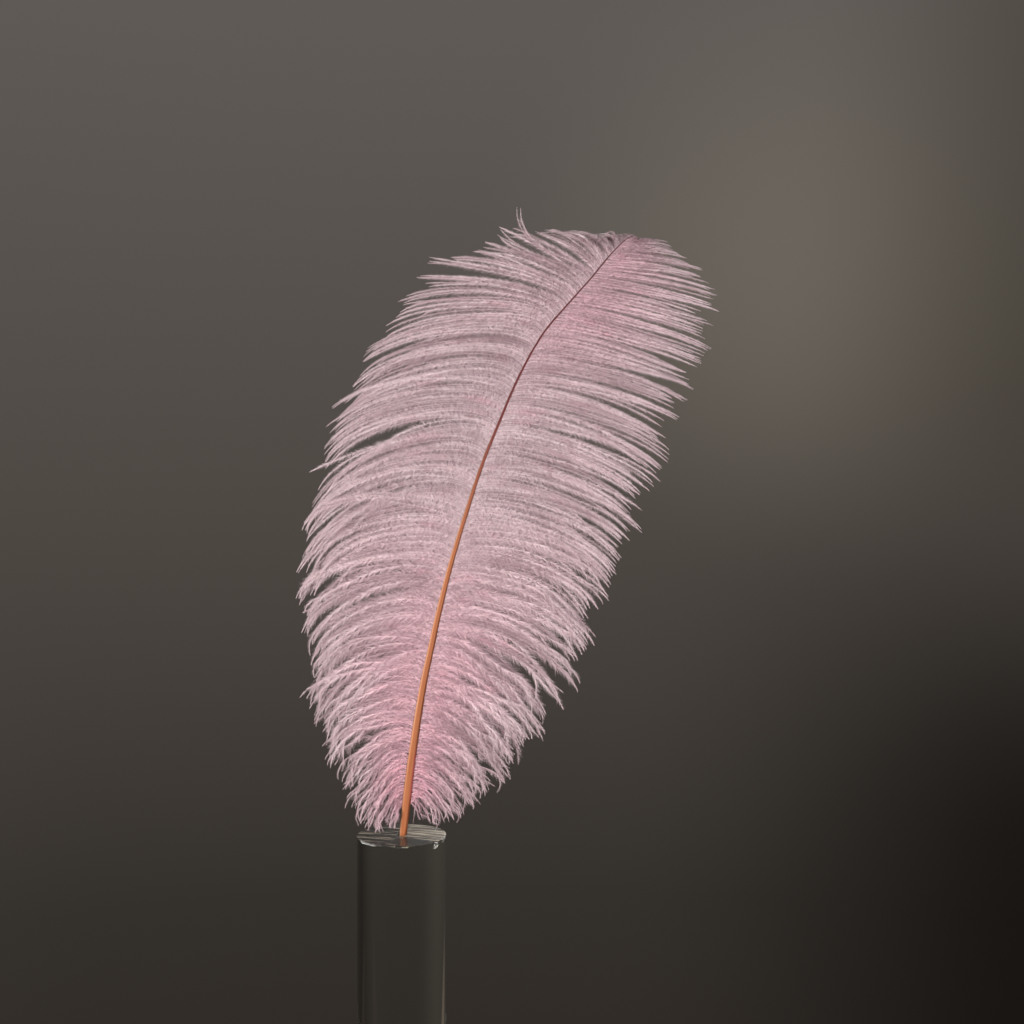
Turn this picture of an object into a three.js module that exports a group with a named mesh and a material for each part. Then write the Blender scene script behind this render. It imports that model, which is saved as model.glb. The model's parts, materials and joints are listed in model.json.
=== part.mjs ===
// One dyed ostrich plume standing in a solid clear glass cylinder that serves as its vase.
// Units are millimetres, +Z is up, and the origin is the centre of the vase's flat base.
// The plume's broad face looks along -Y, and its tip leans to +X and curls over towards +Y.

import * as THREE from 'three';

// ---- the vase: a solid cylinder with one shallow stem well in its sawn top

const VASE_DIAMETER = 50;
const VASE_HEIGHT = 200;
const VASE_CHAMFER = 0.5;
const VASE_SIDES = 96;
const WELL_DIAMETER = 5.6;
const WELL_DEPTH = 5;

// ---- the quill and shaft: one tapered rod of horn

const FIT_GAP = 0.3;
const QUILL_END_HEIGHT = VASE_HEIGHT - WELL_DEPTH + FIT_GAP;
const SHAFT_SIDES = 12;
const SHAFT_STEP = 6;
const SHAFT_DEPTH_SHARE = 0.9;

// the shaft's middle line from the quill's end, up the plume and over the curl: x, y, z
const SHAFT_ROUTE = [
  [0.4, 0, QUILL_END_HEIGHT],
  [1, 0, 202],
  [4.5, 0, 240],
  [11.4, 0, 284],
  [15.7, 0, 304],
  [19, 0, 320],
  [26.5, 1, 351],
  [35, 2, 380],
  [44.5, 4, 409],
  [54.5, 7, 433],
  [65.5, 11, 458.5],
  [79.8, 17, 484.5],
  [94, 22, 502],
  [108, 28, 518],
  [121, 36, 534.5],
  [132, 47, 546],
  [139, 58, 548],
  [144, 68, 544],
  [147, 76, 537],
];

// distance along the shaft, and its half width there
const SHAFT_TAPER = [
  [0, 1.2],
  [1.2, 1.7],
  [4, 1.95],
  [14, 2.1],
  [30, 2.1],
  [60, 1.95],
  [100, 1.75],
  [140, 1.5],
  [190, 1.2],
  [255, 0.85],
  [325, 0.5],
  [375, 0.3],
  [430, 0.18],
];

// ---- the vanes: each a sheet of barbs, stated by where some of its barbs leave and end

const VANE_ROWS = 40;
const VANE_STEPS = 9;
const VANE_ROOT_THICKNESS = 1.6;
const VANE_THICKNESS = 7;
const VANE_TIP_THICKNESS = 1;
const VANE_THICKEST_AT = 0.4;
const VANE_END_SHARE = 0.4;
const VANE_END_ROWS = 3;
const VANE_CLEARANCE = 0.45;
const BARB_LIFT = THREE.MathUtils.degToRad(40);
const BARB_REACH = 0.18;
const BARB_SHOULDER = 0.7;

// distance of the barb's root along the shaft, then its tip's x, y, z, then how far it arches
const LEFT_BARBS = [
  [30, -13, -3, 202.5, 0.25],
  [41, -22, -2, 205.5, 0.28],
  [53, -29, 1, 221, 0.3],
  [64, -40, 4, 238, 0.26],
  [82, -48, 6, 254, 0.26],
  [102, -52, 8, 268, 0.28],
  [127, -56, 9, 297, 0.28],
  [155, -59, 10, 326, 0.28],
  [198, -58, 12, 358, 0.26],
  [222, -56, 14, 380, 0.24],
  [252, -46, 18, 422, 0.2],
  [278, -38, 22, 449, 0.18],
  [298, -31, 26, 470, 0.15],
  [317, -5, 31, 506, 0.1],
  [329, 16, 35, 529, 0.06],
  [345, 55, 42, 550, 0.04],
  [357, 85, 54, 552, 0.1],
  [370, 107, 66, 549, 0.16],
  [390, 122, 84, 538, 0.2],
  [408, 130, 100, 523, 0.2],
  [427, 137, 108, 508, 0.2],
];

const RIGHT_BARBS = [
  [27, 22, -2, 206, 0.25],
  [36, 31, 0, 210, 0.28],
  [48, 39, 2, 217.5, 0.26],
  [57, 49, 3, 224, 0.24],
  [74, 60, 4, 236, 0.2],
  [98, 72, 5, 250, 0.2],
  [117, 88, 6, 273, 0.2],
  [140, 106, 7, 303, 0.18],
  [171, 119, 9, 330, 0.18],
  [193, 129, 11, 355, 0.15],
  [220, 137, 13, 377, 0.12],
  [263, 155, 19, 423, 0.08],
  [289, 165, 24, 451, 0.05],
  [315, 174, 29, 472, 0.04],
  [338, 180, 35, 492, 0.03],
  [350, 181, 40, 507, 0.03],
  [360, 179, 46, 518, 0.05],
  [374, 171, 58, 533, 0.06],
  [388, 157, 68, 548, 0.08],
  [404, 158, 88, 541, 0.12],
  [416, 157, 100, 528, 0.18],
  [427, 152, 108, 511, 0.2],
];

const SHAFT = new THREE.CatmullRomCurve3(SHAFT_ROUTE.map((point) => new THREE.Vector3(...point)));
SHAFT.arcLengthDivisions = 2000;
const SHAFT_LENGTH = SHAFT.getLength();
const UP = new THREE.Vector3(0, 0, 1);

/** The value in one column of a table, worked out in a straight line between its rows. */
function between(table, at, column) {
  const last = table.length - 1;
  const above = table.findIndex((row) => row[0] >= at);
  if (above === 0) return table[0][column];
  if (above === -1) return table[last][column];
  const [low, high] = [table[above - 1], table[above]];
  return THREE.MathUtils.mapLinear(at, low[0], high[0], low[column], high[column]);
}

/** Frames along the shaft: its middle, its direction, its front and its right-hand side. */
function shaftFrames(distances) {
  const front = new THREE.Vector3(0, -1, 0);
  let walked = 0;
  return distances.map((distance) => {
    while (walked < distance) {
      walked = Math.min(walked + 1, distance);
      const turn = SHAFT.getTangentAt(Math.min(walked / SHAFT_LENGTH, 1));
      front.addScaledVector(turn, -front.dot(turn)).normalize();
    }
    const share = Math.min(distance / SHAFT_LENGTH, 1);
    const middle = SHAFT.getPointAt(share);
    const along = SHAFT.getTangentAt(share);
    const forward = front.clone().addScaledVector(along, -front.dot(along)).normalize();
    const right = new THREE.Vector3().crossVectors(along, forward);
    return { distance, middle, along, front: forward, right };
  });
}

/** A closed solid: rings of points joined one to the next, with a fan over each end. */
function loft(rings) {
  const sides = rings[0].length;
  const centre = (ring) => {
    const sum = new THREE.Vector3();
    ring.forEach((point) => sum.add(point));
    return sum.divideScalar(sides);
  };
  const points = [...rings.flat(), centre(rings[0]), centre(rings[rings.length - 1])];
  const bottom = rings.length * sides;
  const top = bottom + 1;
  const faces = [];
  for (let side = 0; side < sides; side += 1) {
    const next = (side + 1) % sides;
    for (let ring = 0; ring < rings.length - 1; ring += 1) {
      const low = ring * sides;
      const high = low + sides;
      faces.push(low + side, low + next, high + next);
      faces.push(low + side, high + next, high + side);
    }
    const last = (rings.length - 1) * sides;
    faces.push(bottom, next, side);
    faces.push(top, last + side, last + next);
  }
  const geometry = new THREE.BufferGeometry().setFromPoints(points);
  geometry.setIndex(faces);
  return geometry;
}

/** Even steps from one number to another, both included. */
function steps(from, to, count) {
  return Array.from({ length: count + 1 }, (_, step) => from + ((to - from) * step) / count);
}

/** The quill and shaft: oval rings along the route, closing in at the rounded end. */
function shaftGeometry() {
  const taperStations = SHAFT_TAPER.map((row) => row[0]).filter((distance) => distance < SHAFT_STEP);
  const even = steps(SHAFT_STEP, SHAFT_LENGTH, Math.round(SHAFT_LENGTH / SHAFT_STEP));
  const rings = shaftFrames([...taperStations, ...even]).map((frame) => {
    const half = between(SHAFT_TAPER, frame.distance, 1);
    return steps(0, 2 * Math.PI, SHAFT_SIDES).slice(0, -1).map((angle) => frame.middle.clone()
      .addScaledVector(frame.right, half * Math.cos(angle))
      .addScaledVector(frame.front, -half * SHAFT_DEPTH_SHARE * Math.sin(angle)));
  });
  return loft(rings);
}

/** One barb's middle line: it leaves the shaft forwards, arches over and droops to its tip. */
function barbCurve(table, side, frame) {
  const outward = frame.right.clone().multiplyScalar(side);
  const clear = between(SHAFT_TAPER, frame.distance, 1) + VANE_CLEARANCE;
  const root = frame.middle.clone().addScaledVector(outward, clear);
  const tip = new THREE.Vector3(...[1, 2, 3].map((column) => between(table, frame.distance, column)));
  const chord = tip.clone().sub(root);
  const span = chord.length();
  const leave = root.clone()
    .addScaledVector(outward, Math.cos(BARB_LIFT) * BARB_REACH * span)
    .addScaledVector(frame.along, Math.sin(BARB_LIFT) * BARB_REACH * span);
  const shoulder = root.clone()
    .addScaledVector(chord, BARB_SHOULDER)
    .addScaledVector(UP, between(table, frame.distance, 4) * span);
  return new THREE.CubicBezierCurve3(root, leave, shoulder, tip);
}

/** Half the vane's thickness at a share of the way out along a barb. */
function halfThickness(out, row) {
  const toEnd = Math.min(row, VANE_ROWS - row, VANE_END_ROWS) / VANE_END_ROWS;
  const full = out < VANE_THICKEST_AT
    ? THREE.MathUtils.mapLinear(out, 0, VANE_THICKEST_AT, VANE_ROOT_THICKNESS, VANE_THICKNESS)
    : THREE.MathUtils.mapLinear(out, VANE_THICKEST_AT, 1, VANE_THICKNESS, VANE_TIP_THICKNESS);
  return (full / 2) * THREE.MathUtils.lerp(VANE_END_SHARE, 1, toEnd);
}

/** A vane: each ring goes out along the front of one row of barbs and back along its rear. */
function vaneGeometry(table, side) {
  const lowest = table[0][0];
  const highest = Math.min(table[table.length - 1][0], SHAFT_LENGTH);
  const rings = shaftFrames(steps(lowest, highest, VANE_ROWS)).map((frame, row) => {
    const barb = barbCurve(table, side, frame);
    const front = [];
    const back = [];
    steps(0, 1, VANE_STEPS).forEach((out) => {
      const middle = barb.getPoint(out);
      const along = barb.getTangent(out);
      const face = frame.front.clone().addScaledVector(along, -frame.front.dot(along)).normalize();
      const half = halfThickness(out, row);
      front.push(middle.clone().addScaledVector(face, half));
      back.unshift(middle.clone().addScaledVector(face, -half));
    });
    const ring = [...front, ...back];
    return side < 0 ? ring.reverse() : ring;
  });
  return loft(rings);
}

/** The vase: the well's floor and wall, the sawn top, the polished wall and the flat base. */
function vaseGeometry() {
  const radius = VASE_DIAMETER / 2;
  const wellFloor = VASE_HEIGHT - WELL_DEPTH;
  const profile = [
    [0, 0],
    [radius - VASE_CHAMFER, 0],
    [radius, VASE_CHAMFER],
    [radius, VASE_HEIGHT - VASE_CHAMFER],
    [radius - VASE_CHAMFER, VASE_HEIGHT],
    [WELL_DIAMETER / 2, VASE_HEIGHT],
    [WELL_DIAMETER / 2, wellFloor],
    [0, wellFloor],
  ];
  const points = profile.map(([across, height]) => new THREE.Vector2(across, height));
  return new THREE.LatheGeometry(points, VASE_SIDES).rotateX(Math.PI / 2);
}

/** A named sub-part with its own finish. */
function subPart(name, geometry, finish) {
  const mesh = new THREE.Mesh(geometry, new THREE.MeshStandardMaterial(finish));
  mesh.name = name;
  return mesh;
}

const HORN = { color: 0xb9713f, roughness: 0.4, metalness: 0 };
const PINK_DOWN = { color: 0xdcb3bb, roughness: 0.9, metalness: 0 };
const CLEAR_GLASS = {
  color: 0xdfe7e4,
  roughness: 0.03,
  metalness: 0,
  transparent: true,
  opacity: 0.35,
};

const plumeInVase = new THREE.Group();
plumeInVase.add(subPart('glass_vase', vaseGeometry(), CLEAR_GLASS));
plumeInVase.add(subPart('quill_shaft', shaftGeometry(), HORN));
plumeInVase.add(subPart('left_vane', vaneGeometry(LEFT_BARBS, -1), PINK_DOWN));
plumeInVase.add(subPart('right_vane', vaneGeometry(RIGHT_BARBS, 1), PINK_DOWN));

export default plumeInVase;
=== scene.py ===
"""Looks for a pale pink ostrich plume that stands in a solid glass cylinder.

The plume is made as it grows: a tapered shaft, a few hundred barbs that leave it on each side
and gather into locks, and the down on every barb. The frame is the CAD's: metres, +Z up, the
plume's broad face towards -Y. Shapes are worked out in millimetres and written in metres.
"""
import json
import math

import bpy
import numpy as np
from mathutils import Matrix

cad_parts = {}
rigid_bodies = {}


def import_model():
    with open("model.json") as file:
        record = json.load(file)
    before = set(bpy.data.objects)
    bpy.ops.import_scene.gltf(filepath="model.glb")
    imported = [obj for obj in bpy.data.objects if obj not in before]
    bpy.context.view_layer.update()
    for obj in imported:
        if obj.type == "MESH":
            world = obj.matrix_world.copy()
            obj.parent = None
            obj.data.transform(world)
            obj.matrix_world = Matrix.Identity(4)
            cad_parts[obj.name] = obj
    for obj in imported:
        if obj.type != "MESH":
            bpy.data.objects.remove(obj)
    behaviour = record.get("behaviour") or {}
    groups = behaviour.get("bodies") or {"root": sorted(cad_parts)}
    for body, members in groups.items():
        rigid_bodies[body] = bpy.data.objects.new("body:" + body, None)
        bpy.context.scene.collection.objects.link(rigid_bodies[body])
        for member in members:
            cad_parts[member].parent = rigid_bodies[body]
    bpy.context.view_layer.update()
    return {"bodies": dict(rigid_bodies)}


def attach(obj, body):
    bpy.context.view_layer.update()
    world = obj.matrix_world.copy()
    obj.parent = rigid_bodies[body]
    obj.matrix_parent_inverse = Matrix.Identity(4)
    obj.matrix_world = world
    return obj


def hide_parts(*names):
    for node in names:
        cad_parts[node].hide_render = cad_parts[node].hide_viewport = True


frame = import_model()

MM = 0.001
BODY = next(iter(frame["bodies"]))
RNG = np.random.default_rng(20)

# ---------------------------------------------------------------- driving sizes, in millimetres

VASE_RADIUS = 25.0
VASE_HEIGHT = 200.0
WELL_RADIUS = 2.8
WELL_DEPTH = 5.0
FIT_GAP = 0.3

# the shaft's middle line from the quill's end, up the plume and over the curl: x, y, z
SHAFT_ROUTE = np.array([
    (0.4, 0, VASE_HEIGHT - WELL_DEPTH + FIT_GAP),
    (1, 0, 202),
    (5.3, 0, 240),
    (12.1, 0, 284),
    (16.3, 0, 304),
    (19.7, 0, 320),
    (27.3, 1, 351),
    (35.9, 2, 380),
    (45.4, 4, 409),
    (55, 7, 433),
    (65.8, 11, 458.5),
    (80.1, 17, 484.5),
    (94.4, 22, 502),
    (108, 28, 518),
    (121, 36, 534.5),
    (132, 47, 546),
    (139, 58, 548),
    (144, 68, 544),
    (147, 76, 537),
], float)

# distance along the shaft, and its half width there
SHAFT_TAPER = np.array([
    (0, 1.2),
    (1.2, 1.7),
    (4, 2.0),
    (14, 2.25),
    (30, 2.3),
    (60, 2.1),
    (100, 1.8),
    (140, 1.5),
    (190, 1.15),
    (255, 0.65),
    (325, 0.42),
    (375, 0.28),
    (430, 0.16),
], float)
SHAFT_DEPTH_SHARE = 0.9
ROUTE_STEPS = 40

# distance of a barb's root along the shaft, its tip's x, y, z, and how far it arches
LEFT_BARBS = np.array([
    (21, -2, -7, 206, 0.3),
    (25, -7, -8, 202, 0.3),
    (30, -13, -5, 202, 0.28),
    (41, -23, -2, 205.5, 0.28),
    (53, -33, 1, 219, 0.3),
    (64, -43, 4, 236, 0.26),
    (82, -51, 6, 253, 0.26),
    (102, -54, 8, 268, 0.28),
    (127, -56, 9, 297, 0.28),
    (155, -59, 10, 326, 0.28),
    (198, -58, 12, 358, 0.26),
    (222, -56, 14, 380, 0.24),
    (252, -46, 18, 422, 0.2),
    (278, -38, 22, 449, 0.18),
    (298, -31, 26, 470, 0.15),
    (317, -5, 31, 506, 0.1),
    (329, 16, 35, 529, 0.06),
    (345, 55, 42, 550, 0.04),
    (357, 85, 54, 552, 0.1),
    (370, 107, 66, 549, 0.16),
    (390, 121, 72, 545, 0.2),
    (408, 130, 80, 538, 0.2),
    (427, 142, 86, 530, 0.2),
], float)
RIGHT_BARBS = np.array([
    (22, 9, -6, 208, 0.3),
    (26, 18, -4, 206, 0.28),
    (30, 25, -2, 205, 0.26),
    (36, 33, 0, 208, 0.28),
    (48, 42, 2, 215, 0.26),
    (57, 52, 3, 221, 0.24),
    (74, 63, 4, 233, 0.2),
    (98, 76, 5, 247, 0.2),
    (117, 91, 6, 270, 0.2),
    (140, 106, 7, 303, 0.18),
    (171, 119, 9, 330, 0.18),
    (193, 129, 11, 355, 0.15),
    (220, 137, 13, 377, 0.12),
    (263, 155, 19, 423, 0.08),
    (289, 165, 24, 451, 0.05),
    (315, 174, 29, 472, 0.04),
    (338, 182, 35, 492, 0.03),
    (350, 184, 40, 507, 0.03),
    (360, 182, 46, 518, 0.05),
    (374, 172, 58, 534, 0.06),
    (388, 157, 68, 548, 0.08),
    (404, 151, 88, 542, 0.12),
    (416, 148, 100, 540, 0.15),
    (427, 145, 108, 537, 0.15),
], float)

# the barbs: how far apart their roots are and how far those scatter, how they leave the shaft,
# where their shoulder is as a share of the way to the tip, and how thick they are
BARB_SPACING = 1.05
FOOT_CROWDING = 1.08
ROOT_SCATTER = 0.15
ROOT_SINK = 0.85
BARB_LIFT = math.radians(40)
BARB_REACH = 0.18
BARB_SHOULDER = 0.74
BARB_SLACK = 1.06
BARB_ROOT_RADIUS = 0.14
BARB_TIP_RADIUS = 0.04
BARB_STEPS = 18

# every other barb lies behind: how deep the two layers are, and the share of a front barb's
# fall, pull and sway that one behind has
AHEAD_BY = 0.8
BEHIND_BY = 2.2
BEHIND_FALL = 0.3
BEHIND_PULL = 0.4
BEHIND_SWAY = 0.2

# how far barbs fall out of their even order, as shares of their length: slowly up the plume,
# lock by lock, barb by barb, and where one crosses its neighbours
FALL_SLOW = 0.014
FALL_LOCK = 0.042
FALL_BARB = 0.01
FALL_CROSSING = 0.065
CROSSING_SHARE = 0.2
LOCK_SWAY = 0.06
SHOULDER_DROOP = 0.13
FOOT_END = 0.2

# the wave along each barb: its height and turns, and what ruffled barbs have more of each
WAVE_HEIGHT = 1.2
WAVE_TURNS = 1.4
RUFFLED_TURNS = 0.5
RUFFLED_CURL = 1.1

# the down: blades to a millimetre of barb, their widths, their share of the reach, and how many
# lean together; angles are in radians
DOWN_PER_MM = 13
UPPER_EVERY = 5
UPPER_WIDTH = 0.4
UNDER_WIDTH = 0.1
UPPER_REACH = 0.7
UNDER_REACH = 1.15
UPPER_TURN = 0.25
UNDER_TURN = -0.5
UPPER_LEAN = 0.06
DOWN_SAG = 0.14
DOWN_END = 0.995
TUFT = 14
TUFT_TURN = 0.7
TUFT_LEAN = 0.14

# share up the shaft, then the down there: its reach, its angle to the barb near the shaft and
# at the barb's tip in degrees, how far it stands off the vane's face, and how ruffled it is
LEFT_DOWN = np.array([
    (0.06, 3.4, 26, 10, 0.5, 0.8),
    (0.12, 5.6, 32, 14, 0.5, 1.0),
    (0.2, 7.0, 36, 18, 0.5, 1.0),
    (0.33, 6.4, 44, 22, 0.45, 0.7),
    (0.44, 4.2, 66, 32, 0.35, 0.4),
    (0.6, 3.7, 72, 32, 0.3, 0.28),
    (0.78, 4.0, 52, 26, 0.25, 0.26),
    (1.0, 4.0, 40, 22, 0.25, 0.3),
], float)
RIGHT_DOWN = np.array([
    (0.06, 3.4, 26, 10, 0.5, 0.8),
    (0.12, 5.6, 32, 14, 0.5, 1.0),
    (0.2, 7.0, 36, 18, 0.5, 1.0),
    (0.33, 6.4, 44, 22, 0.45, 0.7),
    (0.44, 4.2, 64, 32, 0.35, 0.4),
    (0.6, 3.6, 60, 30, 0.3, 0.24),
    (0.75, 3.4, 42, 22, 0.25, 0.1),
    (1.0, 3.2, 32, 18, 0.25, 0.1),
], float)

# barbs that stray: root distance along the shaft, how many, shoulder x, y, z and tip x, y, z
LEFT_STRAYS = np.array([
    (138, 3, -45, 8, 328, -51, 9, 308),
    (148, 3, -47, 8, 338, -55, 10, 323),
    (160, 4, -53, 8, 356, -60, 10, 333),
    (186, 4, -51, 8, 399, -57, 12, 370),
    (237, 1, -36, 14, 415, -54, 14, 403),
    (352, 2, 65.5, 31, 533, 66, 34, 561),
    (346, 2, 66, 34, 535, 54, 40, 548),
    (349, 2, 80, 34, 542, 60, 38, 546),
    (355, 2, 92, 36, 545, 75.5, 42, 548),
    (359, 2, 102, 36, 549, 81, 44, 548.5),
    (363, 2, 106, 38, 550, 89, 44, 548),
    (368, 2, 113, 40, 551, 94.5, 46, 549),
    (344, 2, 62, 34, 532, 56, 36, 544),
    (340, 2, 58, 30, 540, 46, 34, 539),
    (335, 2, 50, 28, 530, 41, 32, 536),
    (331, 2, 44, 28, 533, 28, 32, 530),
    (327, 3, 34, 26, 527, 13, 34, 530),
    (321, 3, 30, 22, 519, 7, 30, 519),
    (316, 2, 28, 20, 516, -5, 26, 505),
    (373, 2, 116, 42, 548, 104, 50, 547),
    (377, 3, 127, 44, 551, 114, 47, 547),
], float)
RIGHT_STRAYS = np.array([
    (22, 1, 10, -5, 225, 7, -6, 208),
    (24, 2, 15, -4, 228, 19, -6, 209),
    (27, 2, 19, -3, 226, 21, -6, 206),
], float)

UP = np.array([0.0, 0.0, 1.0])


# ---------------------------------------------------------------- curves

def unit(vectors):
    """Each vector divided by its own length."""
    return vectors / np.linalg.norm(vectors, axis=-1, keepdims=True)


def ease(values, low, high):
    """A smooth step: t*t*(3 - 2t), where t goes from 0 at low to 1 at high."""
    share = np.clip((values - low) / (high - low), 0, 1)
    return share * share * (3 - 2 * share)


def wander(places, gap):
    """Straight lines between random heights, spread 1, at knots a gap apart."""
    knots = np.arange(places.min() - gap, places.max() + 2 * gap, gap)
    return np.interp(places, knots, RNG.normal(0, 1, len(knots)))


def smooth_route(points, steps):
    """Centripetal Catmull-Rom curve: each span is c0 + c1 t + c2 t^2 + c3 t^3 between two
    points, with end slopes from its neighbours, weighed by the root of the gaps."""
    padded = np.vstack([2 * points[:1] - points[1:2], points, 2 * points[-1:] - points[-2:-1]])
    p0, p1, p2, p3 = (padded[k:k + len(points) - 1, None] for k in range(4))
    gaps = np.sqrt(np.linalg.norm(np.diff(padded, axis=0), axis=1))[:, None, None]
    g0, g1, g2 = gaps[:-2], gaps[1:-1], gaps[2:]
    slope1 = ((p1 - p0) / g0 - (p2 - p0) / (g0 + g1) + (p2 - p1) / g1) * g1
    slope2 = ((p2 - p1) / g1 - (p3 - p1) / (g1 + g2) + (p3 - p2) / g2) * g1
    t = np.linspace(0, 1, steps, endpoint=False)[None, :, None]
    bend = -3 * p1 + 3 * p2 - 2 * slope1 - slope2
    twist = 2 * p1 - 2 * p2 + slope1 + slope2
    spans = p1 + slope1 * t + bend * t ** 2 + twist * t ** 3
    return np.vstack([spans.reshape(-1, 3), points[-1:]])


class Shaft:
    """The shaft's middle line with a frame at each step: along it, to its front, to its right.
    The front starts at -Y and is carried up the curve without twisting."""

    def __init__(self, route):
        self.middle = smooth_route(route, ROUTE_STEPS)
        gaps = np.linalg.norm(np.diff(self.middle, axis=0), axis=1)
        self.distance = np.concatenate([[0], np.cumsum(gaps)])
        self.length = self.distance[-1]
        self.along = unit(np.gradient(self.middle, axis=0))
        self.front = np.empty_like(self.middle)
        carried = np.array([0.0, -1.0, 0.0])
        for step, direction in enumerate(self.along):
            carried = unit(carried - carried @ direction * direction)
            self.front[step] = carried
        self.right = np.cross(self.along, self.front)

    def at(self, values, distance):
        """One of the frame's vectors at any distances along the shaft."""
        return np.stack([np.interp(distance, self.distance, values[:, k]) for k in range(3)], -1)

    def half_width(self, distance):
        """The shaft's half width, in straight lines between the taper's stations."""
        return np.interp(distance, SHAFT_TAPER[:, 0], SHAFT_TAPER[:, 1])


SHAFT = Shaft(SHAFT_ROUTE)


# ---------------------------------------------------------------- meshes

def grid_faces(rows, columns):
    """Four-cornered faces between neighbours of a grid of points, row by row, with the last
    column joined to the first."""
    row = np.arange(rows - 1)[:, None] * columns
    column = np.arange(columns)[None, :]
    beside = (column + 1) % columns
    corners = (row + column, row + beside, row + columns + beside, row + columns + column)
    return np.stack(np.broadcast_arrays(*corners), -1).reshape(-1, 4)


def halved(quads):
    """Two triangles for each four-cornered face."""
    return np.vstack([quads[:, [0, 1, 2]], quads[:, [0, 2, 3]]])


def closed_rings(rings, sides):
    """Triangles of a round solid: rings of points, then one point more to close each end."""
    side = np.arange(sides)
    beside = (side + 1) % sides
    last = (rings - 1) * sides
    low_point, high_point = rings * sides, rings * sides + 1
    low_cap = np.stack([np.full(sides, low_point), beside, side], -1)
    high_cap = np.stack([np.full(sides, high_point), last + side, last + beside], -1)
    return np.vstack([halved(grid_faces(rings, sides)), low_cap, high_cap])


def add_piece(name, points, faces, places, place_name, materials, slot, stands_for, which=None):
    """A mesh object from points in millimetres and faces of one size, with a UV place for each
    point, riding on the part's one body in place of a CAD node."""
    mesh = bpy.data.meshes.new(name)
    mesh.vertices.add(len(points))
    mesh.vertices.foreach_set("co", (points * MM).astype(np.float32).ravel())
    mesh.loops.add(faces.size)
    mesh.loops.foreach_set("vertex_index", faces.astype(np.int32).ravel())
    mesh.polygons.add(len(faces))
    mesh.polygons.foreach_set("loop_start", np.arange(0, faces.size, faces.shape[1], dtype=np.int32))
    if which is not None:
        mesh.polygons.foreach_set("material_index", which.astype(np.int32))
    layer = mesh.uv_layers.new(name=place_name)
    layer.data.foreach_set("uv", places[faces.ravel()].astype(np.float32).ravel())
    mesh.update(calc_edges=True)
    piece = bpy.data.objects.new(name, mesh)
    bpy.context.scene.collection.objects.link(piece)
    for material in materials:
        mesh.materials.append(material)
    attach(piece, BODY)
    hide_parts(stands_for)
    return piece


def shade_smooth(piece, crease=None):
    """Smooth shading, with edges over the crease angle left sharp."""
    mesh = piece.data
    mesh.polygons.foreach_set("use_smooth", np.ones(len(mesh.polygons), bool))
    if crease is not None:
        mesh.set_sharp_from_angle(angle=crease)


# ---------------------------------------------------------------- finishes

class Wire:
    """A number in a material. Arithmetic on it adds Math nodes."""

    def __init__(self, finish, socket):
        self.finish = finish
        self.socket = socket

    def math(self, operation, *values):
        sockets = {place: value for place, value in enumerate(values)}
        return self.finish.node("ShaderNodeMath", {"operation": operation}, sockets)[0]

    def __add__(self, other):
        return self.math("ADD", self, other)

    def __sub__(self, other):
        return self.math("SUBTRACT", self, other)

    def __rsub__(self, other):
        return self.math("SUBTRACT", other, self)

    def __mul__(self, other):
        return self.math("MULTIPLY", self, other)

    def __truediv__(self, other):
        return self.math("DIVIDE", self, other)

    def __gt__(self, other):
        return self.math("GREATER_THAN", self, other)

    def root(self):
        return self.math("SQRT", self)

    __radd__ = __add__
    __rmul__ = __mul__


class Finish:
    """A material, or the world, built node by node."""

    def __init__(self, owner):
        self.owner = owner
        owner.use_nodes = True
        self.tree = owner.node_tree
        self.tree.nodes.clear()

    def node(self, kind, settings=None, sockets=None):
        """Adds a node, gives it its settings, then its sockets' values or links, and returns
        its outputs as wires, by place or name."""
        made = self.tree.nodes.new(kind)
        for name, value in (settings or {}).items():
            if name == "stops":
                self.set_stops(made.color_ramp, value)
            else:
                setattr(made, name, value)
        for name, value in (sockets or {}).items():
            socket = made.inputs[name] if isinstance(name, int) else self.find(made.inputs, name)
            if isinstance(value, Wire):
                self.tree.links.new(value.socket, socket)
            else:
                socket.default_value = value
        outputs = {name.identifier: Wire(self, name) for name in made.outputs}
        outputs.update({place: Wire(self, name) for place, name in enumerate(made.outputs)})
        return outputs

    @staticmethod
    def find(sockets, name):
        return next(s for s in sockets if name in (s.identifier, s.name))

    @staticmethod
    def set_stops(ramp, stops):
        while len(ramp.elements) < len(stops):
            ramp.elements.new(1.0)
        for element, (place, colour) in zip(ramp.elements, stops):
            element.position = place
            element.color = (*colour, 1)

    def ramp(self, value, low, high):
        """A smooth step from 0 at low to 1 at high."""
        sockets = {"Value": value, "From Min": low, "From Max": high}
        return self.node("ShaderNodeMapRange", {"interpolation_type": "SMOOTHSTEP"}, sockets)[0]

    def mix(self, share, first, second):
        """A colour between two colours."""
        sockets = {"Factor_Float": share, "A_Color": first, "B_Color": second}
        return self.node("ShaderNodeMix", {"data_type": "RGBA"}, sockets)["Result_Color"]

    def place(self, name):
        """The two numbers of the piece's own UV map."""
        uv = self.node("ShaderNodeUVMap", {"uv_map": name})[0]
        split = self.node("ShaderNodeSeparateXYZ", sockets={"Vector": uv})
        return split[0], split[1]

    def point(self, x, y, z=0.0):
        return self.node("ShaderNodeCombineXYZ", sockets={"X": x, "Y": y, "Z": z})[0]

    def noise(self, where, scale, detail=2.0, roughness=0.5):
        sockets = {"Vector": where, "Scale": scale, "Detail": detail, "Roughness": roughness}
        return self.node("ShaderNodeTexNoise", sockets=sockets)["Fac"]

    def surface(self, shader):
        self.node("ShaderNodeOutputMaterial", sockets={"Surface": shader})
        return self.owner


def rgb(red, green, blue):
    """A colour as linear light, from the 0 to 255 numbers that a screen shows."""
    values = np.array([red, green, blue]) / 255
    linear = np.where(values < 0.04045, values / 12.92, ((values + 0.055) / 1.055) ** 2.4)
    return tuple(float(v) for v in linear)


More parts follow.
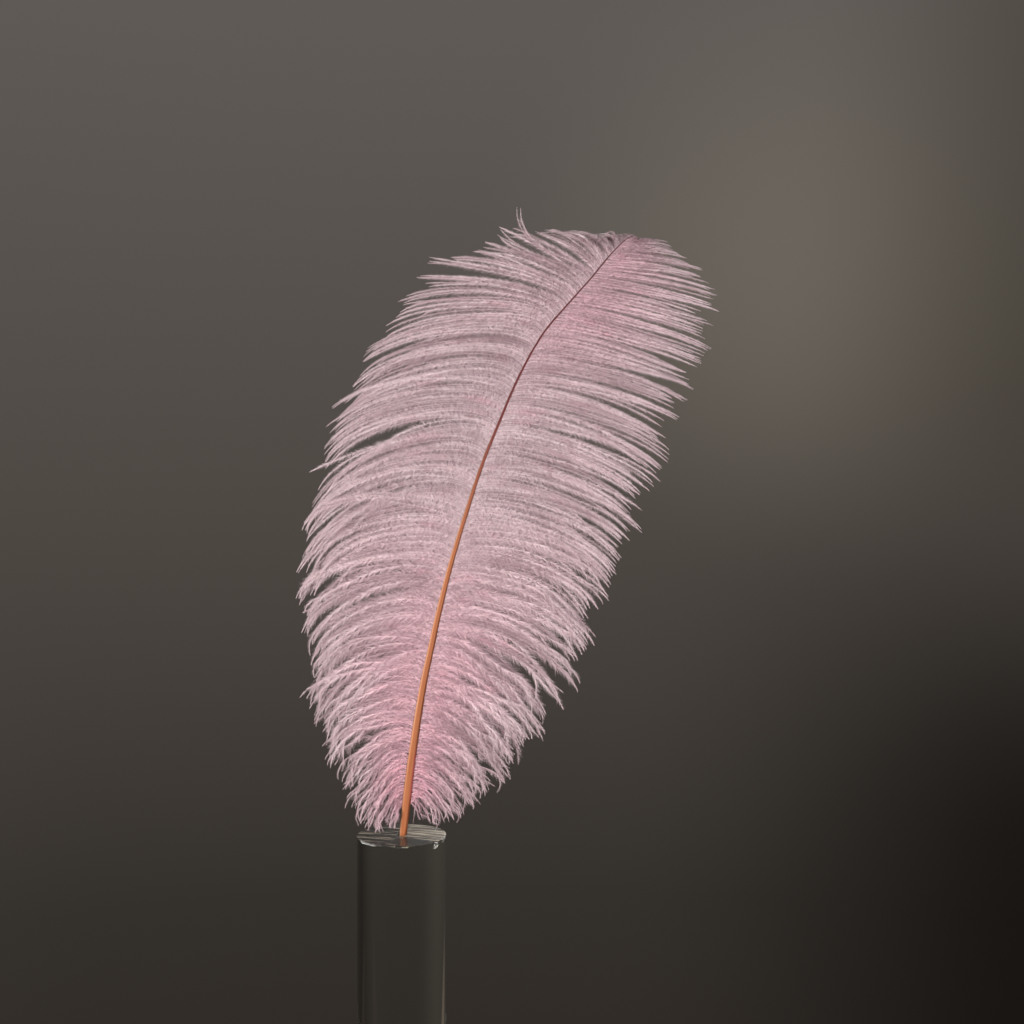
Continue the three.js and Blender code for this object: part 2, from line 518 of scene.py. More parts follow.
def colour(red, green, blue):
    """The same colour with a full alpha, as a shader's socket takes it."""
    return (*rgb(red, green, blue), 1.0)


STRAND_PLACE = "OFBake"
SHAFT_PLACE = "shaft_place"
GLASS_IOR = 1.49
SAW_CENTRE_X = -0.07
SAW_CENTRE_Y = -0.23

PALE_DOWN = colour(236, 221, 223)
DYED_DOWN = colour(232, 178, 190)
# painted shade between the down's locks
PAINTED_SHADE_BETWEEN_LOCKS = colour(170, 146, 152)
# painted shade in strokes between the tufts of down
PAINTED_TUFT_SHADE = colour(138, 116, 118)
DOWN_TIP = colour(220, 202, 204)
BARE_STEM = colour(250, 236, 234)
# painted shade on the under down and on the down of the barbs behind
PAINTED_DOWN_SHADE = colour(122, 100, 105)
LIGHT_THROUGH_DOWN = colour(202, 170, 178)

BROWN_HORN = colour(110, 56, 26)
ORANGE_HORN = colour(142, 84, 46)
# painted highlight on the horn's left flank
PAINTED_LIT_HORN = colour(204, 150, 116)
# painted shade on the horn's right flank
PAINTED_HORN_SHADE = colour(82, 38, 18)
STAINED_HORN = colour(156, 70, 72)
RED_HORN = colour(86, 36, 36)

CLEAR_GLASS = colour(246, 250, 248)
DULL_GLINT = colour(140, 140, 140)
# frost of the saw's arcs, and the tan of a painted reflection at the back on the right
FROST_AND_PAINTED_REFLECTION = colour(196, 182, 154)
GREY_CHIP = colour(150, 146, 138)
WHITE_CHIP = colour(220, 216, 208)

FLOOR_GREY = colour(206, 202, 196)
FLOOR_PALE = colour(212, 208, 203)


def down_finish(name, crown_dye):
    """Dyed down. Its UV map holds the barb's place up the plume and the place out along it, in
    four columns: the barbs' stems, their upper down, their thinner under down, and all the down
    of the barbs behind; the last two are greyed with painted shade. The dye is strongest by the
    shaft and at the plume's foot, and crown_dye is how strong it is towards the tip."""
    f = Finish(bpy.data.materials.new(name))
    across, out = f.place(STRAND_PLACE)
    is_down = across > 1 / 4
    is_under = across > 2 / 4
    is_behind = across > 3 / 4
    up = across * 4 - is_down - is_under - is_behind

    foot = 1 - f.ramp(up, 0.05, 0.16)
    low = 1 - f.ramp(up, 0.14, 0.5)
    high = f.ramp(up, 0.55, 0.8) * crown_dye
    near = 1 - f.ramp(out, 0.15, 0.95)
    patch_tint = f.noise(f.point(up * 9, out * 2, 4.0), 1.0)
    streak = f.ramp(f.noise(f.point(up * 130, out * 3, 8.0), 1.0), 0.6, 0.7) * (0.4 + near)
    dye = near * (low * 0.7 + high) + 0.3 * foot + 0.2 * patch_tint + streak * 0.35
    dyed = f.mix(dye, PALE_DOWN, DYED_DOWN)

    # painted shade: soft grey-mauve shadows between the locks, in streaks along the barbs
    lock_shade_noise = f.noise(f.point(up * 70, out * 1.3), 1.0)
    lock_shaded = f.mix(f.ramp(lock_shade_noise, 0.5, 0.66) * 0.4, dyed, PAINTED_SHADE_BETWEEN_LOCKS)
    # painted shade: dark strokes from tuft to tuft and stripes along the barbs, as if upper tufts
    # shadowed the down below
    stripe = f.ramp(f.noise(f.point(up * 120, out * 2.5, 12.0), 1.0), 0.42, 0.6)
    tick = f.ramp(f.noise(f.point(up * 500, out * 150), 1.0), 0.42, 0.58)
    coarse = 0.6 + 0.4 * f.ramp(up, 0.2, 0.42)
    tuft_shade = is_down * (0.2 + 0.5 * stripe) * (0.3 + 0.7 * tick) * coarse
    tuft_shaded = f.mix(tuft_shade, lock_shaded, PAINTED_TUFT_SHADE)

    tipped = f.mix(f.ramp(out, 0.6, 1.0) * (0.6 - 0.4 * foot), tuft_shaded, DOWN_TIP)
    stemmed = f.mix((1 - is_down) * 0.2, tipped, BARE_STEM)
    # painted shade: the under down is darkened, more at the foot and towards the crown, and the down
    # behind is darkened away from its tips, as if in the shadow of the down in front
    under_shade = is_under * (0.26 + 0.16 * low + 0.22 * f.ramp(up, 0.5, 0.75))
    shaded = is_behind * 0.24 * (1 - f.ramp(out, 0.6, 0.95))
    strand = f.mix(under_shade + shaded, stemmed, PAINTED_DOWN_SHADE)
    body = f.node("ShaderNodeBsdfPrincipled", sockets={
        "Base Color": strand,
        "Roughness": 0.6,
        "Specular IOR Level": 0.3,
    })[0]
    glow = f.node("ShaderNodeBsdfTranslucent", sockets={"Color": LIGHT_THROUGH_DOWN})[0]
    both = f.node("ShaderNodeMixShader", sockets={"Fac": 0.4, 1: body, 2: glow})[0]
    return f.surface(both)


def horn_finish():
    """Horn: orange, with a painted highlight on the left flank and painted shade on the right
    flank, red-brown towards the tip, and a stain of dye on the right flank where the barbs begin."""
    f = Finish(bpy.data.materials.new("quill_horn"))
    around, up = f.place(SHAFT_PLACE)
    streaks = f.noise(f.point(around * 9, up * 6), 4.0, 3.0)
    warm = f.mix(streaks, BROWN_HORN, ORANGE_HORN)
    # painted highlight down the left flank, as if lit from the left
    flank = f.ramp(around, 0.3, 0.4) * (0.4 + 0.35 * f.ramp(up, 0.05, 0.2))
    lit = f.mix(flank, warm, PAINTED_LIT_HORN)
    # painted shade down the right flank
    shaded = f.mix((1 - f.ramp(around, 0.12, 0.2)) * 0.7, lit, PAINTED_HORN_SHADE)
    stain = f.ramp(up, 0.05, 0.07) * (1 - f.ramp(up, 0.1, 0.14)) * (1 - f.ramp(around, 0.1, 0.18))
    stained = f.mix(stain * 0.5, shaded, STAINED_HORN)
    aged = f.mix(f.ramp(up, 0.36, 0.62), stained, RED_HORN)
    bump = f.node("ShaderNodeBump", sockets={"Strength": 0.25, "Distance": 0.0002, "Height": streaks})
    body = f.node("ShaderNodeBsdfPrincipled", sockets={
        "Base Color": aged,
        "Roughness": 0.5,
        "Specular IOR Level": 0.15,
        "Normal": bump[0],
    })[0]
    return f.surface(body)


def glass_finish():
    """Clear polished glass."""
    f = Finish(bpy.data.materials.new("clear_glass"))
    body = f.node("ShaderNodeBsdfPrincipled", sockets={
        "Base Color": CLEAR_GLASS,
        "Roughness": 0.0,
        "IOR": GLASS_IOR,
        "Transmission Weight": 1.0,
    })[0]
    return f.surface(body)


def sawn_glass_finish():
    """The sawn top: glass with long arcs left by the saw, and at the back on the right a tan patch
    of frost, a painted reflection of light caught there. The arcs are rings about the saw's far
    centre, thinned out of a noise that is long along them. Where the top is clear, its glints are
    dulled."""
    f = Finish(bpy.data.materials.new("sawn_glass"))
    where = f.node("ShaderNodeTexCoord")["Object"]
    split = f.node("ShaderNodeSeparateXYZ", sockets={"Vector": where})
    x, y = split[0], split[1]
    from_saw_x, from_saw_y = x - SAW_CENTRE_X, y - SAW_CENTRE_Y
    ring = (from_saw_x * from_saw_x + from_saw_y * from_saw_y).root()
    lines = f.noise(f.point(ring * 420, x * 22), 1.0, 3.0, 0.6)
    # painted reflection: a tan patch of frost at the back on the right, where the top catches light
    reflection_patch = f.ramp(x, 0.0, 0.004) * f.ramp(y + x * 0.42, -0.0048, -0.0036)
    clean_front = f.ramp(x, -0.004, 0.001) * (1 - reflection_patch)
    bump = f.node("ShaderNodeBump", sockets={"Strength": 0.5, "Distance": 0.0003, "Height": lines})[0]
    clear = f.node("ShaderNodeBsdfPrincipled", sockets={
        "Base Color": CLEAR_GLASS,
        "Roughness": 0.22,
        "Specular Tint": DULL_GLINT,
        "IOR": GLASS_IOR,
        "Transmission Weight": 1.0,
        "Normal": bump,
    })[0]
    frost = f.node("ShaderNodeBsdfPrincipled", sockets={
        "Base Color": FROST_AND_PAINTED_REFLECTION,
        "Roughness": 0.5,
        "Normal": bump,
    })[0]
    scratch = f.ramp(lines, 0.53, 0.6) * (0.6 - 0.45 * clean_front)
    both = f.node("ShaderNodeMixShader", sockets={
        "Fac": scratch + 0.4 * reflection_patch * f.ramp(lines, 0.36, 0.52),
        1: clear,
        2: frost,
    })[0]
    return f.surface(both)


def chipped_glass_finish():
    """The bruised rim: specks of crushed white glass among clear."""
    f = Finish(bpy.data.materials.new("chipped_glass"))
    where = f.node("ShaderNodeTexCoord")["Object"]
    grit = f.noise(where, 1500.0, 2.0)
    white = f.node("ShaderNodeBsdfPrincipled", sockets={
        "Base Color": f.mix(grit, GREY_CHIP, WHITE_CHIP),
        "Roughness": 0.45,
    })[0]
    clear = f.node("ShaderNodeBsdfPrincipled", sockets={
        "Base Color": CLEAR_GLASS,
        "Roughness": 0.2,
        "IOR": GLASS_IOR,
        "Transmission Weight": 1.0,
    })[0]
    both = f.node("ShaderNodeMixShader", sockets={
        "Fac": f.ramp(grit, 0.48, 0.56) * 0.85,
        1: clear,
        2: white,
    })[0]
    return f.surface(both)


def floor_finish():
    """Plain pale matt floor."""
    f = Finish(bpy.data.materials.new("pale_floor"))
    where = f.node("ShaderNodeTexCoord")["Object"]
    body = f.node("ShaderNodeBsdfPrincipled", sockets={
        "Base Color": f.mix(f.noise(where, 30.0), FLOOR_GREY, FLOOR_PALE),
        "Roughness": 0.8,
    })[0]
    return f.surface(body)


# ---------------------------------------------------------------- the shaft

SHAFT_SIDES = 28
SHAFT_STEP = 1.5
GROOVE_AT = math.radians(74)
GROOVE_WIDTH = math.radians(16)
GROOVE_DEPTH = 0.13
QUILL_ROUNDING = 1.6
QUILL_END_SHARE = 0.25


def make_shaft():
    """Tapered rod: rings r(angle) = w (1 - g exp(-((angle - a)/b)^2)) around the middle line,
    wider than deep, with one shallow groove up the front, and a rounded end below."""
    ends = np.array([0, 0.25, 0.6, 1.2, 2.0, 3.0])
    distance = np.concatenate([ends, np.arange(4, SHAFT.length, SHAFT_STEP), [SHAFT.length]])
    angle = np.linspace(0, 2 * math.pi, SHAFT_SIDES, endpoint=False)
    half = SHAFT.half_width(distance)[:, None]
    from_end = np.clip(distance / QUILL_ROUNDING, 0, 1)
    rounding = np.sqrt(np.clip(1 - (1 - from_end) ** 2, 0.0, 1))[:, None]
    fade = ease(distance, 6, 20)[:, None] * (1 - ease(distance, 300, 360))[:, None]
    groove = 1 - GROOVE_DEPTH * fade * np.exp(-((angle - GROOVE_AT) / GROOVE_WIDTH) ** 2)
    half = half * np.maximum(rounding, QUILL_END_SHARE)
    middle, right, front = (SHAFT.at(v, distance) for v in (SHAFT.middle, SHAFT.right, SHAFT.front))
    sideways = (half * np.cos(angle) * groove)[..., None] * right[:, None]
    forwards = (half * SHAFT_DEPTH_SHARE * np.sin(angle) * groove)[..., None] * front[:, None]
    rings = middle[:, None] + sideways + forwards
    points = np.vstack([rings.reshape(-1, 3), middle[:1], middle[-1:]])
    around = np.broadcast_to(angle / (2 * math.pi), rings.shape[:2])
    up = np.broadcast_to(distance[:, None] / SHAFT.length, rings.shape[:2])
    places = np.vstack([np.stack([around, up], -1).reshape(-1, 2), [[0.5, 0], [0.5, 1]]])
    triangles = closed_rings(len(distance), SHAFT_SIDES)[:, ::-1]
    piece = add_piece("quill_and_shaft", points, triangles, places, SHAFT_PLACE,
                      [horn_finish()], "horn", "quill_shaft")
    shade_smooth(piece)


# ---------------------------------------------------------------- barbs and their down

class Barbs:
    """The barbs of one vane. Each is a cubic curve (1-u)^3 a + 3(1-u)^2 u b + 3(1-u) u^2 c + u^3 d
    from its root a on the shaft, leaving forwards through b, over its shoulder c to its tip d.
    Neighbours gather into locks: tips pull together, and each lock has its own length and fall.
    Every other barb lies behind, where the locks part less, so that no slit goes right through."""

    def __init__(self, table, side, habit, strays):
        start, end = table[0, 0], min(table[-1, 0], SHAFT.length)
        count = int((end - start) / BARB_SPACING)
        self.root_at = start + (end - start) * np.linspace(0, 1, count) ** FOOT_CROWDING
        self.root_at += RNG.normal(0, ROOT_SCATTER, count)
        self.root_at = np.clip(self.root_at, start, end)
        self.share = self.root_at / SHAFT.length
        self.tidy_side = side > 0
        self.behind = np.arange(count) % 2 > 0
        self.outward = SHAFT.at(SHAFT.right, self.root_at) * side
        self.forward = unit(SHAFT.at(SHAFT.along, self.root_at))
        self.face = unit(SHAFT.at(SHAFT.front, self.root_at))
        middle = SHAFT.at(SHAFT.middle, self.root_at)
        self.a = middle + self.outward * (SHAFT.half_width(self.root_at) * ROOT_SINK)[:, None]
        self.reach, lean_in, lean_out, self.spread, self.ruffle = (
            np.interp(self.share, habit[:, 0], habit[:, k]) for k in range(1, 6))
        self.lean_in, self.lean_out = np.radians(lean_in), np.radians(lean_out)
        stations = [np.interp(self.root_at, table[:, 0], table[:, k]) for k in range(1, 5)]
        settle = np.ones(9) / 9
        calm = [np.convolve(np.pad(v, 4, mode="edge"), settle, mode="valid") for v in stations]
        self.shape_locks(np.stack(calm[:3], -1) - self.a, calm[3])
        for stray in strays:
            self.lead_astray(*stray)
        self.length = np.linalg.norm(self.d - self.a, axis=1) * BARB_SLACK
        self.wave = RNG.normal(0, WAVE_HEIGHT, (2, count)) * (0.2 + self.ruffle)
        self.wave_turn = RNG.uniform(0, 2 * math.pi, (2, count))

    def shape_locks(self, chord, arch):
        """Sets b, c and d from each barb's way to its tip and its arch. The way is turned by the
        barb's fall, cut to its length and set to its depth, and then b, c and d go part of the
        way to their means over the barb's lock, and over the wider band that the lock is in."""
        count = len(self.share)
        ruffle = self.ruffle
        bushy = np.clip(ruffle, 0, 1)
        above_foot = ease(self.share, 0.0, FOOT_END)
        lock, locks = self.layered(2.6 + 5.4 * ruffle + 2.4 * (self.share < 0.65))
        band, bands = self.groups(4, 6 + 3 * ruffle)

        fall = FALL_SLOW * wander(self.root_at, 8) + FALL_LOCK * RNG.uniform(-1, 1, locks)[lock]
        fall += FALL_BARB * RNG.normal(0, 1, count)
        orderly = 1 - 0.8 * self.tidy_side * (self.share > 0.6)
        crossing = (RNG.uniform(0, 1, count) < CROSSING_SHARE) * orderly
        fall += FALL_CROSSING * RNG.normal(0, 1, count) * crossing
        fall *= (0.3 + 2.6 * ruffle) * np.where(self.behind, BEHIND_FALL, 1) * above_foot
        length = RNG.uniform(0.93, 1.05, locks)[lock] * RNG.uniform(0.95, 1.0, count)
        short = RNG.uniform(0, 1, count) < 0.12 + 0.3 * ruffle
        length = np.where(short, length * RNG.uniform(0.65, 0.97, count), length)
        depth = 1.6 * wander(self.root_at, 12) + 2.2 * RNG.normal(0, 1, locks)[lock]
        depth += 0.8 * RNG.normal(0, 1, count) * (1 + 2 * ruffle) + 3 * crossing
        depth += np.where(self.behind, -BEHIND_BY, AHEAD_BY)
        span = np.linalg.norm(chord, axis=1)[:, None]
        across = unit(np.cross(chord, self.face))
        chord = chord * length[:, None] + across * fall[:, None] * span
        chord += self.face * depth[:, None] * np.minimum(span / 60, 1)
        span = np.linalg.norm(chord, axis=1)[:, None]

        tip = self.a + chord
        tight = RNG.uniform(0.6, 0.95, locks)[lock] * np.where(short, 0.3, 1)
        tight *= np.where(self.behind, BEHIND_PULL, 1)
        pull = np.where(short, 0.1, tight * (1 - 0.25 * bushy))[:, None]
        pinch = RNG.uniform(0.0, 1.0, bands)[band][:, None] * (0.12 if self.tidy_side else 0.2)
        pinch *= np.where(self.behind, BEHIND_SWAY, 1)[:, None]
        tip += (self.shared(tip, band) - tip) * pinch
        self.d = tip + (self.shared(tip, lock) - tip) * pull

        leave = self.a + BARB_REACH * span * (
            math.cos(BARB_LIFT) * self.outward + math.sin(BARB_LIFT) * self.forward)
        waist = (tight * (0.5 + 0.25 * bushy))[:, None]
        self.b = leave + (self.shared(leave, lock) - leave) * waist * 0.5

        droop = SHOULDER_DROOP * np.clip(ruffle * 1.6, 0, 1)
        shoulder = self.a + (BARB_SHOULDER + droop)[:, None] * chord
        shoulder += (arch + 0.35 * droop)[:, None] * span * UP
        sway = LOCK_SWAY * RNG.uniform(-1, 1, locks)[lock] * (0.2 + ruffle)
        sway *= np.where(self.behind, BEHIND_SWAY, 1) * above_foot
        shoulder += across * sway[:, None] * span
        shoulder += (self.shared(shoulder, band) - shoulder) * pinch * 2
        self.c = shoulder + (self.shared(shoulder, lock) - shoulder) * waist

    def groups(self, fewest, more):
        """Runs of neighbours: a group number for each barb, and how many groups."""
        count = len(self.share)
        sizes = fewest + (RNG.uniform(0, 1, count) * more).astype(int)
        group = np.zeros(count, int)
        place = number = 0
        while place < count:
            group[place:place + sizes[place]] = number
            place += sizes[place]
            number += 1
        return group, number

    def layered(self, more):
        """Runs of neighbours, with those in front and those behind in runs of their own."""
        ahead, number = self.groups(2, more)
        behind, further = self.groups(2, more)
        return np.where(self.behind, number + behind, ahead), number + further

    @staticmethod
    def shared(values, group):
        """Each group's mean, given to every one of its members."""
        sums = np.stack([np.bincount(group, values[:, k]) for k in range(3)], -1)
        return (sums / np.maximum(np.bincount(group), 1)[:, None])[group]

    def lead_astray(self, root_at, strands, *way):
        """Sends the strands nearest a root distance over another shoulder to another tip. Those
        behind stay where they are, but not near the plume's tip."""
        held = self.behind & (self.share < 0.7)
        nearest = np.argsort(abs(self.root_at - root_at) + 1000 * held)[:int(strands)]
        apart = RNG.normal(0, 0.7, (2, len(nearest), 3))
        self.c[nearest] = np.array(way[:3]) + apart[0] * 2
        self.d[nearest] = np.array(way[3:]) + apart[1]

    def line(self, which, out):
        """Points and directions at shares out along barbs which: the cubic curve, with a wave
        h u sin(2 pi n u + p) on it both ways, that curls more towards ruffled tips."""
        u = out[..., None]
        a, b, c, d = (v[which] for v in (self.a, self.b, self.c, self.d))
        point = (1 - u) ** 3 * a + 3 * (1 - u) ** 2 * u * b + 3 * (1 - u) * u ** 2 * c + u ** 3 * d
        slope = 3 * ((1 - u) ** 2 * (b - a) + 2 * (1 - u) * u * (c - b) + u ** 2 * (d - c))
        along = unit(slope)
        face = self.face[which]
        face = unit(face - np.sum(face * along, -1, keepdims=True) * along)
        beside = np.cross(along, face)
        ruffle = self.ruffle[which]
        turn = 2 * math.pi * (WAVE_TURNS + RUFFLED_TURNS * ruffle) * out
        curl = out * (1 + RUFFLED_CURL * ruffle * out ** 3)
        rise = self.wave[0][which] * np.sin(turn + self.wave_turn[0][which]) * curl
        sink = self.wave[1][which] * np.sin(turn + self.wave_turn[1][which]) * curl
        point = point + beside * rise[..., None] + face * sink[..., None]
        return point, along, face, beside

    def stems(self, chosen):
        """Three-sided rods along the chosen barbs, r(u) = r0 (1 - u) + r1 u, closed at both ends.
        A rod's three sides lie a little apart on the map, so that no face there is a line."""
        count = len(chosen)
        out = np.broadcast_to(np.linspace(0, 1, BARB_STEPS + 1), (count, BARB_STEPS + 1))
        which = np.broadcast_to(chosen[:, None], out.shape)
        point, _, face, beside = self.line(which, out)
        radius = BARB_ROOT_RADIUS * (1 - out) + BARB_TIP_RADIUS * out
        angle = (np.arange(3) * 2 * math.pi / 3)[:, None]
        ring = np.cos(angle) * face[..., None, :] + np.sin(angle) * beside[..., None, :]
        points = point[..., None, :] + radius[..., None, None] * ring
        end = BARB_STEPS * 3
        ends = [[2, 1, 0], [end, end + 1, end + 2]]
        rod = np.vstack([halved(grid_faces(BARB_STEPS + 1, 3)), ends])
        starts = np.arange(count) * 3 * (BARB_STEPS + 1)
        faces = (rod[None] + starts[:, None, None]).reshape(-1, 3)
        spread = np.array([-1, 0, 1]) * 0.4 / len(self.share)
        across = (self.share[which][..., None] + spread) / 4
        outwards = np.broadcast_to(out[..., None] + 0.004 * np.array([0, 1, 0]), across.shape)
        return points.reshape(-1, 3), faces, np.stack([across, outwards], -1).reshape(-1, 2)

    def down(self, chosen):
        """The down: thin blades, one triangle each, that leave both sides of each chosen barb.
        A blade goes from two points p - w and p + w at its root to one tip p + d L, with d
        turned forwards along the barb. L shrinks towards the barb's tip, and neighbours lean
        together in tufts. Every few blades comes one of upper down, broad, short and turned to
        the vane's face; the others are under down, thin, long and turned to its back."""
        per_barb = np.maximum(self.length[chosen] * DOWN_PER_MM, TUFT).astype(int)
        which = np.repeat(chosen, per_barb)
        count = len(which)
        number = np.arange(count) - np.repeat(np.cumsum(per_barb) - per_barb, per_barb)
        hand = np.where(number % 2, 1.0, -1.0)
        under = number % UPPER_EVERY > 0
        tuft = np.cumsum(number % TUFT == 0) * 2 + number % 2
        out = DOWN_END * (number + RNG.uniform(0, 1, count)) / np.repeat(per_barb, per_barb)

        def by_tuft(spread):
            """A random number for each blade, the same all over its tuft."""
            return spread * RNG.normal(0, 1, tuft[-1] + 2)[tuft]

        point, along, face, beside = self.line(which, out)
        ruffle = self.ruffle[which]
        turn = self.spread[which] * (by_tuft(TUFT_TURN) + RNG.normal(0, 0.25, count))
        turn += np.where(under, UNDER_TURN, UPPER_TURN)
        lean = self.lean_in[which] + (self.lean_out - self.lean_in)[which] * out
        lean += by_tuft(TUFT_LEAN) * (0.5 + ruffle) + RNG.normal(0, 0.08, count)
        lean += np.where(under, 0, UPPER_LEAN)
        reach = self.reach[which] * np.where(under, UNDER_REACH, UPPER_REACH)
        reach *= RNG.uniform(0.7, 1.1, count) * (1 + by_tuft(0.12))
        reach *= (0.4 + 0.6 * ease(out, 0, 0.16)) * (1 - 0.3 * ease(out, 0.55, 0.85))
        reach *= 1 - 0.8 * ease(out, 0.84, 1.0)
        sideways = (hand * np.cos(turn))[:, None] * beside + np.sin(turn)[:, None] * face
        leave = np.cos(lean)[:, None] * along + np.sin(lean)[:, None] * sideways
        leave -= UP * (DOWN_SAG * ruffle)[:, None]
        end = point + leave * reach[:, None]
        flat = unit(np.cross(leave, face + 0.9 * RNG.normal(0, 1, (count, 3))))
        width = np.where(under, UNDER_WIDTH, UPPER_WIDTH * (1 - 0.6 * ease(out, 0.6, 1)))
        wide = flat * (width * 0.5 * RNG.uniform(0.7, 1.2, count))[:, None]
        points = np.stack([point - wide, point + wide, end], 1).reshape(-1, 3)
        faces = np.arange(count * 3).reshape(-1, 3)
        across = self.share[which][:, None] + np.array([-0.2, 0.2, 0]) / len(self.share)
        outwards = np.clip(out[:, None] + np.array([0, 0, 0.003]), 0, 1)
        column = np.where(self.behind[which], 3, np.where(under, 2, 1))
        places = np.stack([(across + column[:, None]) / 4, outwards], -1).reshape(-1, 2)
        return points, faces, places


def join(*parts):
    """Points, faces and places of several meshes as those of one."""
    offsets = np.cumsum([0] + [len(points) for points, _, _ in parts])
    faces = [part[1] + offset for part, offset in zip(parts, offsets)]
    return (np.vstack([part[0] for part in parts]), np.vstack(faces),
            np.vstack([part[2] for part in parts]))


VANE_SECTIONS = ("foot", "waist", "crown")


def make_vane(barbs, name, material):
    """One vane as joined meshes up the plume, with about the same length of barb in each."""
    sections = len(VANE_SECTIONS)
    so_far = np.cumsum(barbs.length)
    section = np.minimum((sections * so_far / so_far[-1]).astype(int), sections - 1)
    for number, part in enumerate(VANE_SECTIONS):
        chosen = np.flatnonzero(section == number)
        mesh = join(barbs.stems(chosen), barbs.down(chosen))
        add_piece(f"{name}_{part}", *mesh, STRAND_PLACE, [material], "down", name)


# ---------------------------------------------------------------- the vase

VASE_SIDES = 960
VASE_EDGE = 0.12
VASE_CREASE = math.radians(25)
CLEAR, SAWN, CHIPPED = range(3)

# the vase's rings near the rim: millimetres below the top, and millimetres in from the wall
RINGS_BELOW = (100, 40, 8, 5, 4.4, 4, 3.6, 3.2, 2.8, 2.4, 2.0, 1.7, 1.4, 1.1, 0.8, 0.5, 0.3)
RINGS_INSIDE = (0.4, 0.8, 1.1, 1.4, 1.8, 2.4, 4)

# where the rim is bruised: from and to in degrees round from +X, how far the bruise fades in,
# from and to in millimetres below the rim, and how deep its chips are
BRUISES = [
    (-171, -104, 40, -1.5, 1.1, 0.25),
    (-43, -29, 6, 0.3, 3.6, 0.3),
    (-24, -6, 5, -0.4, 2.0, 0.12),
]
CHIPPED_OVER = 0.2
RIM_ONLY = 5


def hollows(rows, columns):
    """Random numbers from 0 to 1 on a grid, each row smoothed round with its neighbours."""
    heights = RNG.uniform(0, 1, (rows, columns))
    return (heights + np.roll(heights, 1, 1) + np.roll(heights, -1, 1)) / 3


def make_vase():
    """Turned solid: the profile (r, z) carried round the axis. In each bruise r and z are
    pulled in by the bruise's depth times random hollows. A ring's drop is its distance below
    the rim on the wall, and less than nothing on the top."""
    r, z, well, edge = VASE_RADIUS, VASE_HEIGHT, WELL_RADIUS, VASE_EDGE
    wall = [(r - edge, 0), (r, edge)] + [(r, z - below) for below in RINGS_BELOW] + [(r, z - edge)]
    top = [(r - edge / 2, z - edge / 2), (r - edge, z)] + [(r - step, z) for step in RINGS_INSIDE]
    hole = [(well + 0.1, z), (well, z - 0.1), (well, z - WELL_DEPTH)]
    profile = np.array(wall + top + hole)
    rings = len(profile)
    angle = np.linspace(-math.pi, math.pi, VASE_SIDES, endpoint=False)
    drop = np.where(profile[:, 0] > r - edge * 0.9, z - profile[:, 1], profile[:, 0] - r)[:, None]
    drop = np.where(profile[:, :1] < r - RIM_ONLY, math.inf, drop)
    damage = np.zeros((rings, VASE_SIDES))
    pulled = np.zeros((rings, VASE_SIDES))
    for start, end, fade, upper, lower, depth in BRUISES:
        start, end, fade = np.radians([start, end, fade])
        along_rim = ease(angle, start, start + fade) * (1 - ease(angle, end - fade, end))
        down_rim = ease(drop, upper - 0.3, upper + 0.3) * (1 - ease(drop, lower - 0.6, lower + 0.3))
        chips = along_rim * down_rim * ease(hollows(rings, VASE_SIDES), 0.42, 0.66)
        damage = np.maximum(damage, chips)
        pulled += depth * chips
    radius = profile[:, :1] - pulled
    height = profile[:, 1:] - pulled * (profile[:, 1:] > z - 0.8)
    points = np.stack([radius * np.cos(angle), radius * np.sin(angle), height], -1).reshape(-1, 3)
    points = np.vstack([points, [[0, 0, 0], [0, 0, z - WELL_DEPTH]]])
    triangles = closed_rings(rings, VASE_SIDES)
    middle = points[triangles].mean(1)
    from_axis = np.hypot(middle[:, 0], middle[:, 1])
    sawn_above = np.where(from_axis < well + 0.2, z - WELL_DEPTH - edge, z - edge)
    hurt = np.concatenate([damage.ravel(), [0, 0]])[triangles].mean(1) > CHIPPED_OVER
    which = np.where(hurt, CHIPPED, np.where(middle[:, 2] > sawn_above, SAWN, CLEAR))
    places = points[:, :2] / (2 * r) + 0.5
    piece = add_piece("vase", points, triangles, places, "vase_place",
                      [glass_finish(), sawn_glass_finish(), chipped_glass_finish()],
                      "glass", "glass_vase", which)
    shade_smooth(piece, VASE_CREASE)


# ---------------------------------------------------------------- camera, light and stage

CAMERA_AT = (62.0, -702.0, 381.5)
FOCAL_LENGTH = 43.9
SENSOR_WIDTH = 36.0
NEAREST_SEEN = 0.01
FLOOR_RADIUS = 160.0
FLOOR_THICK = 12.0
FLOOR_SIDES = 128

# places in metres, as the lamps and the sheet of painted shade are far bigger than the plume
PLUME_MIDDLE = np.array([0.05, 0.0, 0.38])
SHEET_LEFT, SHEET_RIGHT = 0.1, 1.4
SHEET_BOTTOM, SHEET_TOP = -0.5, 0.55
SHEET_BACK = 0.48


def add_camera():
    """The camera in front of the plume, level, looking along +Y."""
    camera = bpy.data.objects.new("camera", bpy.data.cameras.new("camera"))
    camera.data.lens = FOCAL_LENGTH
    camera.data.sensor_width = SENSOR_WIDTH
    camera.data.clip_start = NEAREST_SEEN
    camera.location = [v * MM for v in CAMERA_AT]
    camera.rotation_euler = (math.radians(90), 0, 0)
    bpy.context.scene.collection.objects.link(camera)
    bpy.context.scene.camera = camera


def add_lamp(name, at, size, power, tone):
    """A soft square lamp at a place in metres, turned to the middle of the plume."""
    lamp = bpy.data.objects.new(name, bpy.data.lights.new(name, "AREA"))
    lamp.data.size = size
    lamp.data.energy = power
    lamp.data.color = tone
    lamp.location = at
    towards = PLUME_MIDDLE - at
    turn = math.atan2(towards[0], -towards[1])
    tilt = math.atan2(math.hypot(towards[0], towards[1]), -towards[2])
    lamp.rotation_euler = (tilt, 0, math.pi + turn)
    bpy.context.scene.collection.objects.link(lamp)


